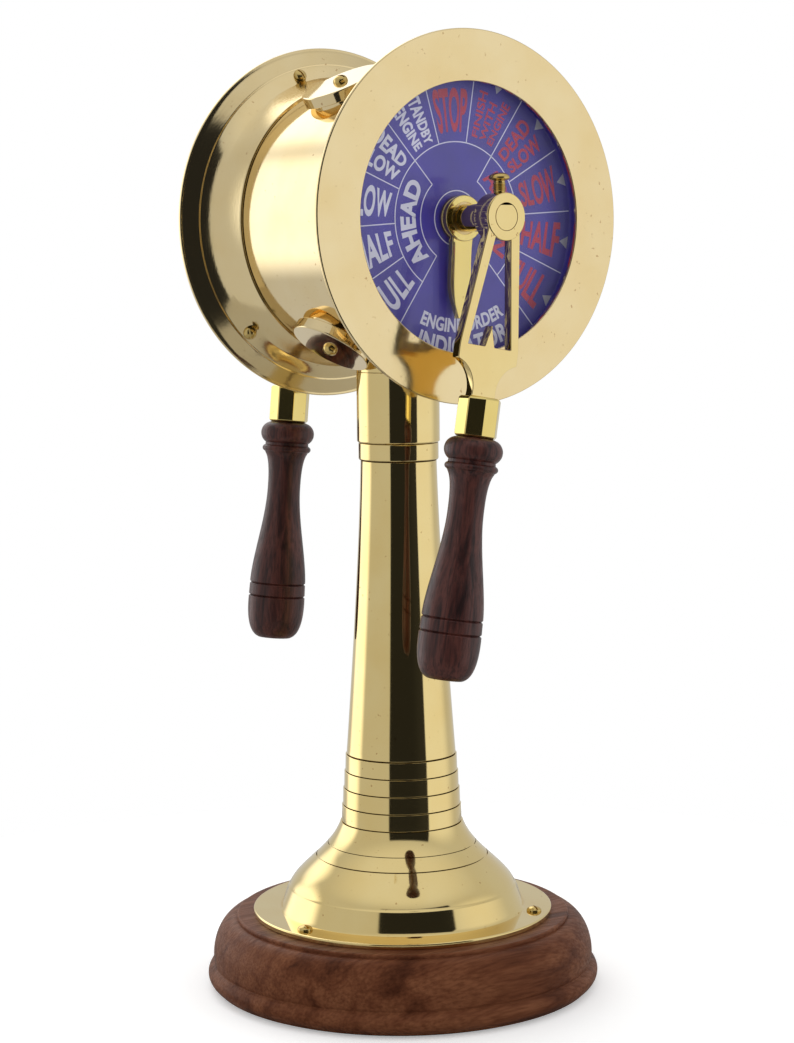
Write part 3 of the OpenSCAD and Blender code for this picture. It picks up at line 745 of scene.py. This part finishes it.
DIAL_FACE = 45.0
DIAL_R = 64.3
GLASS_BACK = 51.8
GLASS_T = 2.2
INK_HEIGHT = 0.06
LINE_HALF = 0.24
SECTORS = 11
SECTOR_STEP = 25.8
SECTORS_START = -SECTOR_STEP * SECTORS / 2
BAND_INNER = 19.5
BAND_OUTER = 33.0
DIAL_EDGE = 62.9
MARK_TIP = 58.4


def polar(r, degrees):
    """Point at a radius and an angle from the top, clockwise seen from outside."""
    a = math.radians(degrees)
    return (r * math.sin(a), r * math.cos(a), DIAL_FACE + 0.02)


class Ink:
    """Gathers flat printed shapes of one colour for one dial."""

    def __init__(self):
        self.verts = []
        self.faces = []

    def add(self, verts, faces):
        """Adds a shape, given as vertices and faces of its own."""
        start = len(self.verts)
        self.verts += verts
        self.faces += [[start + i for i in f] for f in faces]

    def strip(self, points):
        """A ribbon from pairs of points."""
        verts = [p for pair in points for p in pair]
        faces = [(2 * i, 2 * i + 1, 2 * i + 3, 2 * i + 2) for i in range(len(points) - 1)]
        self.add(verts, faces)

    def arc_line(self, r, start, stop):
        """A line round the dial between two angles."""
        steps = max(8, int(abs(stop - start) / 1.5))
        pairs = []
        for i in range(steps + 1):
            a = start + (stop - start) * i / steps
            pairs.append((polar(r - LINE_HALF, a), polar(r + LINE_HALF, a)))
        self.strip(pairs)

    def spoke(self, degrees, inner, outer):
        """A line along a radius."""
        pairs = []
        for r in (inner, outer):
            spread = math.degrees(LINE_HALF / r)
            pairs.append((polar(r, degrees - spread), polar(r, degrees + spread)))
        self.strip(pairs)

    def words(self, text, place, weight=0.02):
        """Text as flat shapes. place maps (0..1 along, 0..1 up) to a point on the dial."""
        data = bpy.data.curves.new("words", "FONT")
        data.body = text
        data.offset = weight
        data.resolution_u = 5
        data.space_character = 1.02
        verts, faces = data_of(data, merge=True)
        low_x = min(v[0] for v in verts)
        wide = max(v[0] for v in verts) - low_x
        low_y = min(v[1] for v in verts)
        tall = max(v[1] for v in verts) - low_y
        self.add([place((v[0] - low_x) / wide, (v[1] - low_y) / tall) for v in verts], faces)

    def piece(self, name, end, turn, material):
        """Makes one thin flat piece of all the shapes."""
        obj = build(name, self.verts, self.faces, at_end(end, -turn))
        obj.data.shade_flat()
        solid = obj.modifiers.new("thickness", "SOLIDIFY")
        solid.thickness = INK_HEIGHT * MM
        solid.offset = 0
        put(obj, "stand", "dial", material)


def along_radius(centre, inner, outer, low, high, outward):
    """Text read along a radius: low and high are degrees either side of the sector's centre."""
    sense = 1 if outward else -1

    def place(u, v):
        r = inner + (outer - inner) * (u if outward else 1 - u)
        return polar(r, centre - sense * (low + (high - low) * v))
    return place


def along_arc(centre, half, inner, outer, tops_out=True):
    """Text read round the dial, with the letters' tops outward, or inward along the bottom."""

    def place(u, v):
        if tops_out:
            return polar(inner + (outer - inner) * v, centre - half + 2 * half * u)
        return polar(outer - (outer - inner) * v, centre + half - 2 * half * u)
    return place


def print_orders(white, red):
    """The engine orders: white for ahead on the left, red for astern and stop on the right."""
    mid = [SECTORS_START + SECTOR_STEP * (i + 0.5) for i in range(SECTORS)]
    near = BAND_OUTER + 2.8
    far = DIAL_EDGE - 6.2
    for index, text in ((0, "FULL"), (1, "HALF"), (2, "SLOW")):
        white.words(text, along_radius(mid[index], near, far, -8.2, 8.2, False), 0.03)
    for index, text in ((8, "SLOW"), (9, "HALF"), (10, "FULL")):
        red.words(text, along_radius(mid[index], near + 0.9, far + 1.4, -8.2, 8.2, True), 0.025)
    white.words("DEAD", along_radius(mid[3], near, far, 1.0, 9.6, False), 0.04)
    white.words("SLOW", along_radius(mid[3], near, far, -9.6, -1.0, False), 0.04)
    red.words("DEAD", along_radius(mid[7], near + 0.4, far + 0.6, 1.2, 9.2, True), 0.03)
    red.words("SLOW", along_radius(mid[7], near + 0.4, far + 0.6, -9.2, -1.2, True), 0.03)
    white.words("STANDBY", along_radius(mid[4], near - 0.8, far + 1, 1.2, 8.4, False), 0.04)
    white.words("ENGINE", along_radius(mid[4], near - 0.4, far - 1, -8.4, -1.2, False), 0.04)
    red.words("STOP", along_arc(mid[5], 10.4, near + 1.2, far - 0.6), 0.03)
    for text, low in (("FINISH", 4.2), ("WITH", -2.6), ("ENGINE", -9.4)):
        outer = far - 2.6 if text == "WITH" else far + 0.4
        red.words(text, along_radius(mid[6], near + 0.8, outer, low, low + 4.9, True), 0.02)
    white.words("AHEAD", along_arc(-92, 42, 22.2, 30.4), 0.045)
    red.words("ASTERN", along_arc(86, 43, 22.0, 30.6), 0.035)


def print_lines(white, marks):
    """The sectors' lines, a ring round the shaft, two inner bands and a triangle in each sector."""
    last = -SECTORS_START
    white.arc_line(BAND_OUTER, SECTORS_START, last)
    white.arc_line(12.0, 0, 360)
    for i in range(SECTORS + 1):
        white.spoke(SECTORS_START + SECTOR_STEP * i, BAND_OUTER, DIAL_EDGE)
    ahead = (SECTORS_START, SECTORS_START + 4 * SECTOR_STEP)
    astern = (last - 4 * SECTOR_STEP, last)
    for start, stop in (ahead, astern):
        white.arc_line(BAND_INNER, start, stop)
        for edge in (start, stop):
            white.spoke(edge, BAND_INNER, BAND_OUTER)
    for i in range(SECTORS):
        a = SECTORS_START + SECTOR_STEP * (i + 0.5)
        tip = polar(MARK_TIP, a)
        marks.add([tip, polar(DIAL_EDGE, a - 2.6), polar(DIAL_EDGE, a + 2.6)], [(0, 1, 2)])


def print_title(white):
    """Two generic lines at the bottom of the dial."""
    white.words("ENGINE ORDER", along_arc(180, 28, 43.2, 49.4, False), 0.035)
    white.words("INDICATOR", along_arc(180, 26, 51.2, 59.4, False), 0.035)


def dial(end):
    """The enamelled plate and the three colours printed on it."""
    hole = 8.0
    back = DIAL_FACE - 1
    outline = [(hole, back, 0.1), (DIAL_R, back, 0.1), (DIAL_R, DIAL_FACE, 0.1), (hole, DIAL_FACE, 0.1)]
    piece = lathe(end + "_dial_plate", eased(outline, closed=True), at_end(end), 192)
    put(piece, "stand", "dial", LOOKS["dial"], end + "_dial")
    white = Ink()
    red = Ink()
    marks = Ink()
    print_lines(white, marks)
    print_orders(white, red)
    print_title(white)
    turn = DIAL_TURN[end]
    white.piece(end + "_dial_white_print", end, turn, WHITE_INK)
    red.piece(end + "_dial_red_print", end, turn, RED_INK)
    marks.piece(end + "_dial_marks", end, turn, MARK_INK)


def cover_glass(end):
    """The flat pane, with a hole for the shaft."""
    hole = 6.4
    edge = DIAL_R - 0.2
    front = GLASS_BACK + GLASS_T
    outline = [(hole, GLASS_BACK, 0.3), (edge, GLASS_BACK, 0.3), (edge, front, 0.3), (hole, front, 0.3)]
    piece = lathe(end + "_glass_cut", eased(outline, closed=True), at_end(end), 160)
    put(piece, "stand", "glass", LOOKS["glass"], end + "_glass")


def spacer_ring(end):
    """The ring that holds the glass off the dial."""
    inner = DIAL_EDGE + 0.1
    outline = [(inner, DIAL_FACE, 0.2), (DIAL_R, DIAL_FACE, 0.2), (DIAL_R, GLASS_BACK, 0.2),
               (inner, GLASS_BACK, 0.2)]
    piece = lathe(end + "_spacer_turned", eased(outline, closed=True), at_end(end), 192)
    # Its dark blue dial enamel is painted shade and reflection: it stands in for the dark band of shadow
    # and darkened reflection of the dial on the wall of the opening.
    put(piece, "stand", "dial", LOOKS["dial"], end + "_spacer_ring")


# ---- pointers and levers -------------------------------------------------------------------

def pointer(end):
    """The pointer: a waisted leaf on a round head."""
    place = at_end(end, POINTER_ANGLE[end])
    back = DIAL_FACE + 1
    leaf = (
        curve((5.7, -7), (4.2, -20), (6.8, -26), (4.2, -34), 20)
        + [(0.5, -43.3), (-0.5, -43.3)]
        + curve((-4.2, -34), (-6.8, -26), (-4.2, -20), (-5.7, -7), 20)
    )
    verts, faces = plate_data([leaf], back + 1, back + 4, 0.35)
    blade = build("blade", verts, faces, place)
    head_outline = eased([(7, back, 0.2), (10, back, 0.5), (10, back + 5, 0.8), (7, back + 5, 0.2)],
                         closed=True)
    head = lathe(end + "_pointer_leaf", head_outline, place, 96)
    piece = cut(head, blade, "UNION")
    put(piece, end + "_pointer", "polished_brass", YELLOW_BRASS, end + "_pointer")


HUB_FRONT = 80.0
HUB_BACK = 70.0
HUB_R = 10.2
FRAME_FRONT = 79.75
FRAME_BACK = 75.25
FRAME_MID = (FRAME_FRONT + FRAME_BACK) / 2
SHAFT_R = 5.9
SHAFT_FLAT = 4.9
FERRULE_SIDES = 8
FERRULE_ACROSS = 17.3


def across_hub(end):
    """Local millimetres to the frame: Z up through the middle of the boss, from the shaft's axis."""
    middle = Matrix.Translation((0, 0, (HUB_FRONT + HUB_BACK) / 2))
    return at_end(end) @ middle @ Matrix.Rotation(-math.pi / 2, 4, "X")


def lever_frame_outlines():
    """Outside of the lever's flat frame, and the window with its upright point."""
    waist = arc((19.2, -74.5), (13.0, 13.0), 105.6, 191.1, 20)
    right = [(7.6, 0), (15.7, -55.5, 2.0), (15.7, -61.9, 0.5)] + waist[1:] + [(6.4, -77)]
    outside = eased(right + [(-x, *rest) for x, *rest in reversed(right)], closed=True)
    window = eased([(3.2, -4), (11.5, -55.5, 0.4), (2.6, -55.5, 0.3), (0, -46.5, 0.2), (-2.6, -55.5, 0.3),
                    (-11.5, -55.5, 0.4), (-3.2, -4)], closed=True)
    return [outside, window]


def lever_arm(end):
    """The open frame and its boss, bored for the shaft and the thumb screw."""
    place = at_end(end, LEVER_ANGLE[end])
    verts, faces = plate_data(lever_frame_outlines(), FRAME_BACK, FRAME_FRONT, 0.3)
    flat = build("frame", verts, faces, place)
    hub_outline = eased([(0, HUB_BACK), (HUB_R, HUB_BACK, 0.7), (HUB_R, HUB_FRONT, 0.7), (0, HUB_FRONT)])
    hub = lathe(end + "_lever_arm_cast", hub_outline, place, 128)
    piece = cut(hub, flat, "UNION")
    bore_r = SHAFT_R + 0.12
    low = HUB_BACK - 3
    high = HUB_FRONT + 3
    bore_outline = [(0, low), (bore_r, low), (bore_r, high), (0, high)]
    piece = cut(piece, lathe("bore", bore_outline, at_end(end), 96), "DIFFERENCE")
    hole_outline = [(0, 2), (2.5, 2), (2.5, HUB_R + 4), (0, HUB_R + 4)]
    piece = cut(piece, lathe("hole", hole_outline, across_hub(end), 48), "DIFFERENCE")
    put(piece, end + "_lever", "polished_brass", CAST_BRASS, end + "_lever_arm")


def lever_shaft(end):
    """The shaft, with a flat under the thumb screw."""
    flat_from = HUB_BACK - 0.5
    spindle = [(0, 0.3), (4, 0.3, 0.3), (4, 5.6, 0.1), (SHAFT_R, 5.6, 0.3)]
    flat_start = [(SHAFT_R, flat_from - 0.1), (SHAFT_R, flat_from + 0.1)]
    outline = eased(spindle + flat_start + [(SHAFT_R, HUB_FRONT, 0.35), (0, HUB_FRONT)])
    verts, faces = lathe_data(outline, 96)
    verts = [(x, min(y, SHAFT_FLAT) if z > flat_from else y, z) for x, y, z in verts]
    piece = build(end + "_lever_shaft_turned", verts, faces, at_end(end))
    put(piece, end + "_lever", "polished_brass", CAST_BRASS, end + "_lever_shaft")


def down_lever(end):
    """Local millimetres to the frame: Z runs from the hub's centre down the grip."""
    middle = Matrix.Translation((0, 0, FRAME_MID))
    return at_end(end, LEVER_ANGLE[end]) @ middle @ Matrix.Rotation(math.pi / 2, 4, "X")


def ferrule(end):
    """The eight-sided ferrule, with its ends drawn in."""
    n = FERRULE_SIDES
    corner = FERRULE_ACROSS / 2 / math.cos(math.pi / n)
    rows = eased([(0.90, 77.0), (1.0, 77.9, 0.5), (1.0, 93.4, 0.5), (0.90, 94.3)])
    verts = []
    for scale, z in rows:
        for k in range(n):
            a = math.pi / n + k * 2 * math.pi / n
            verts.append((corner * scale * math.cos(a), corner * scale * math.sin(a), z))
    faces = []
    for i in range(len(rows) - 1):
        for k in range(n):
            after = (k + 1) % n
            faces.append((n * i + k, n * i + after, n * i + n + after, n * i + n + k))
    faces.append(list(range(n)))
    faces.append([n * (len(rows) - 1) + k for k in range(n)])
    piece = build(end + "_ferrule_milled", verts, faces, down_lever(end), sharp=25)
    soften(piece, 0.35)
    put(piece, end + "_lever", "polished_brass", YELLOW_BRASS, end + "_ferrule")


def soften(piece, width):
    """Rounds a piece's sharp edges by a width in millimetres."""
    modifier = piece.modifiers.new("edge", "BEVEL")
    modifier.width = width * MM
    modifier.segments = 3
    modifier.limit_method = "ANGLE"
    modifier.angle_limit = math.radians(30)
    modifier.harden_normals = False


def grip(end):
    """The turned wooden grip, with two beads at the top and two grooves near the end."""
    outline = eased(
        [(0, 94.35), (8.2, 94.35, 0.4)]
        + arc((7.4, 99.7), (5.2, 5.3), -72, 58, 20)
        + arc((8, 107), (3.5, 2.1), -50, 50, 12)
        + curve((9.9, 109.3), (8.2, 112), (7.7, 118), (7.75, 125), 16)
        + curve((7.75, 126), (7.8, 141), (12.7, 158), (13.2, 170.4), 28)
        + [(13.2, 170.9, 0.2), (12.5, 171.5), (13.2, 172.1, 0.2), (13.35, 176.9, 0.2), (12.6, 177.5),
           (13.4, 178.1, 0.2)]
        + curve((13.4, 178.8), (13.6, 187), (12.6, 195), (8.2, 197.2), 20)
        + [(7.6, 197.5, 0.3), (0, 197.5)]
    )
    piece = lathe(end + "_grip_turned", outline, down_lever(end), 160)
    put(piece, end + "_lever", "grip_wood", LOOKS["grip_wood"], end + "_grip")


def thumb_screw(end):
    """The thumb screw: a threaded stem, thicker above the boss, under a domed head."""
    foot = 5.3
    head = HUB_R + 5.3
    pitch = 0.9
    threads = []
    z = foot
    while z < head - 1.2:
        core = 2.4 if z > HUB_R + 0.4 else 2.05
        threads += [(core, z), (core + 0.4, z + pitch * 0.45, 0.15)]
        z += pitch
    under_head = [(2.4, head - 0.9, 0.2), (2.5, head - 0.3, 0.3), (3.6, head, 0.4)]
    rim = [(4.5, head + 0.7, 0.4), (4.5, head + 1.3, 0.4)]
    dome = arc((0, head + 1.4), (4.3, 1.8), 10, 90, 12)
    dome[-1] = (0, head + 3.2)
    outline = eased([(0, foot)] + threads + under_head + rim + dome)
    piece = lathe(end + "_thumb_screw_turned", outline, across_hub(end), 96)
    put(piece, end + "_thumb_screw", "screw_brass", LOOKS["screw_brass"], end + "_thumb_screw")


# ---- carried-over nodes --------------------------------------------------------------------

def finish_cad_nodes():
    """Gives every CAD node its material. The ones that a piece replaces aren't shown."""
    for name, obj in frame["nodes"].items():
        obj.data.materials.clear()
        obj.data.materials.append(LOOKS[SUBPARTS[name]])


# ---- studio --------------------------------------------------------------------------------

CAMERA_AZIMUTH = -35.6
CAMERA_AWAY = 1.0841
CAMERA_HEIGHT = 0.3280
CAMERA_PITCH = -6.026
CAMERA_TURN = 0.051
CAMERA_ROLL = -0.507
CAMERA_LENS = 82.63
FLOOR_R = 368


def camera():
    """The camera, placed round the pedestal by its azimuth and distance in metres."""
    data = bpy.data.cameras.new("camera")
    data.lens = CAMERA_LENS
    data.sensor_width = 36.0
    obj = bpy.data.objects.new("camera", data)
    a = math.radians(CAMERA_AZIMUTH)
    place = Matrix.Translation((math.sin(a) * CAMERA_AWAY, -math.cos(a) * CAMERA_AWAY, CAMERA_HEIGHT))
    turn = Matrix.Rotation(math.radians(CAMERA_AZIMUTH + CAMERA_TURN), 4, "Z")
    tilt = Matrix.Rotation(math.radians(90 + CAMERA_PITCH), 4, "X")
    roll = Matrix.Rotation(math.radians(CAMERA_ROLL), 4, "Z")
    obj.matrix_world = place @ turn @ tilt @ roll
    bpy.context.scene.collection.objects.link(obj)
    bpy.context.scene.camera = obj


def floor():
    """A pale round table top, bright enough to run into the pale backdrop."""
    outline = [(0, -12), (FLOOR_R + 2, -12), (FLOOR_R + 2, -2), (FLOOR_R, 0), (0, 0)]
    verts, faces = lathe_data(outline, 128)
    obj = build("floor", verts, faces, Matrix.Scale(MM, 4))
    shader = Shader("pale_floor")
    cloud = shader.noise(shader.object_coords(), 8.0, 3.0)
    pale = shader.ramp(cloud, [(0.3, (0.93, 0.93, 0.93)), (0.7, (0.95, 0.95, 0.95))])
    # Camera rays see the pale top, lifted by a glow so that it reads white; every other ray sees a darker
    # grey, which is painted shade on the floor as the brass reflects it and as it bounces light.
    seen = shader.node("ShaderNodeLightPath").outputs["Is Camera Ray"]
    mixed = shader.mix(seen, (0.55, 0.54, 0.52, 1), pale)
    shader.set(Base_Color=mixed, Roughness=0.9, Emission_Color=(1, 1, 1, 1))
    shader.set(Emission_Strength=shader.remap(seen, 0.0, 1.0, 0.0, 0.34))
    obj.data.materials.append(shader.material)


STUDIO_LEVEL = 0.64
CEILING_GAIN = 0.2
DARK_FROM = -150
DARK_TO = -72
DARK_SOFT = 1.5
DARK_DEPTH = 0.965
# Direction, outer and inner half angles in degrees and added brightness of each soft light.
SOFT_BOXES = (
    ((0.62, -0.77, -0.12), 50, 20, 0.33),
    ((-0.468, 0.880, 0.087), 31, 16, 1.1),
    ((0.14, 0.80, 0.59), 26, 12, 1.4),
)


def world():
    """White studio all round, a bright ceiling and one dark opening, as the brass reflects them."""
    made = bpy.data.worlds.new("studio")
    bpy.context.scene.world = made
    made.use_nodes = True
    tree = made.node_tree
    background = tree.nodes["Background"]

    def math_node(operation, a, b=0.0, c=0.0):
        node = tree.nodes.new("ShaderNodeMath")
        node.operation = operation
        for socket, value in zip(node.inputs, (a, b, c)):
            if isinstance(value, bpy.types.NodeSocket):
                tree.links.new(value, socket)
            else:
                socket.default_value = value
        return node.outputs[0]

    def step(value, low, high):
        node = tree.nodes.new("ShaderNodeMapRange")
        node.interpolation_type = "SMOOTHSTEP"
        tree.links.new(value, node.inputs["Value"])
        node.inputs["From Min"].default_value = low
        node.inputs["From Max"].default_value = high
        return node.outputs[0]

    coords = tree.nodes.new("ShaderNodeTexCoord")
    split = tree.nodes.new("ShaderNodeSeparateXYZ")
    tree.links.new(coords.outputs["Generated"], split.inputs[0])
    x, y, z = split.outputs
    azimuth = math_node("ARCTAN2", y, x)
    rad = math.radians
    enter = step(azimuth, rad(DARK_FROM - DARK_SOFT), rad(DARK_FROM + DARK_SOFT))
    leave = step(azimuth, rad(DARK_TO - DARK_SOFT), rad(DARK_TO + DARK_SOFT))
    low = math_node("SUBTRACT", 1.0, step(z, 0.60, 0.66))
    path = tree.nodes.new("ShaderNodeLightPath")
    mirrored = math_node("SUBTRACT", 1.0, path.outputs["Is Diffuse Ray"])
    between = math_node("MULTIPLY", enter, math_node("SUBTRACT", 1.0, leave))
    dark = math_node("MULTIPLY", between, low)
    dark = math_node("MULTIPLY", dark, mirrored)
    bright = math_node("ADD", STUDIO_LEVEL, math_node("MULTIPLY", step(z, 0.6, 0.95), CEILING_GAIN))
    for direction, wide, narrow, gain in SOFT_BOXES:
        dot = tree.nodes.new("ShaderNodeVectorMath")
        dot.operation = "DOT_PRODUCT"
        tree.links.new(coords.outputs["Generated"], dot.inputs[0])
        dot.inputs[1].default_value = Vector(direction).normalized()
        lobe = step(dot.outputs["Value"], math.cos(rad(wide)), math.cos(rad(narrow)))
        bright = math_node("ADD", bright, math_node("MULTIPLY", lobe, gain))
    open_part = math_node("SUBTRACT", 1.0, math_node("MULTIPLY", dark, DARK_DEPTH))
    lit = math_node("MULTIPLY", bright, open_part)
    seen = path.outputs["Is Camera Ray"]
    shown = math_node("ADD", math_node("MULTIPLY", lit, math_node("SUBTRACT", 1.0, seen)), seen)
    tree.links.new(shown, background.inputs["Strength"])
    background.inputs["Color"].default_value = (1, 1, 1, 1)
    bpy.context.scene.view_settings.view_transform = "Standard"


# ---- making --------------------------------------------------------------------------------

camera()
floor()
world()
finish_cad_nodes()
wood_base()
pedestal_foot()
ring_collar()
column()
column_band()
neck()
foot_screws()
drum_body()
port_covers()
for end in ENDS:
    bezel(end)
    bezel_screws(end)
    dial(end)
    cover_glass(end)
    spacer_ring(end)
    pointer(end)
    lever_arm(end)
    lever_shaft(end)
    ferrule(end)
    grip(end)
    thumb_screw(end)
